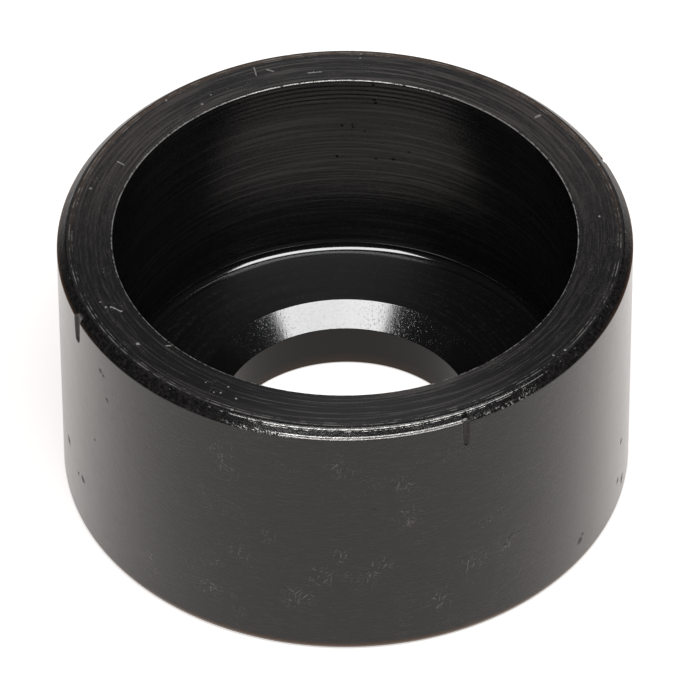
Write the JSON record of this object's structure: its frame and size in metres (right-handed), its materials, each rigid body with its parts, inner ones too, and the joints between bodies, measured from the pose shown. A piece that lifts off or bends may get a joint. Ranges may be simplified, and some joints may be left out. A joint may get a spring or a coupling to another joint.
{
  "type": "knockout die",
  "caption": "Cup-shaped steel die of a knockout punch set, with a sharp-edged mouth, a countersunk stud bore in its floor and index marks on its wall.",
  "frame": {"origin": "on the die's axis, in the plane of the flat base that it rests on", "axes": "+Z along the axis, out of the mouth of the cup; +X to the right and -Y towards the viewer in the picture"},
  "size_m": [0.0428, 0.0428, 0.0222],
  "materials": {
    "black_oxide_steel": "hardened tool steel, turned, with a glossy black oxide coat that is worn to bare steel on its edges"
  },
  "bodies": {
    "root": {"knockout_die": "black_oxide_steel"}
  },
  "joints": []
}
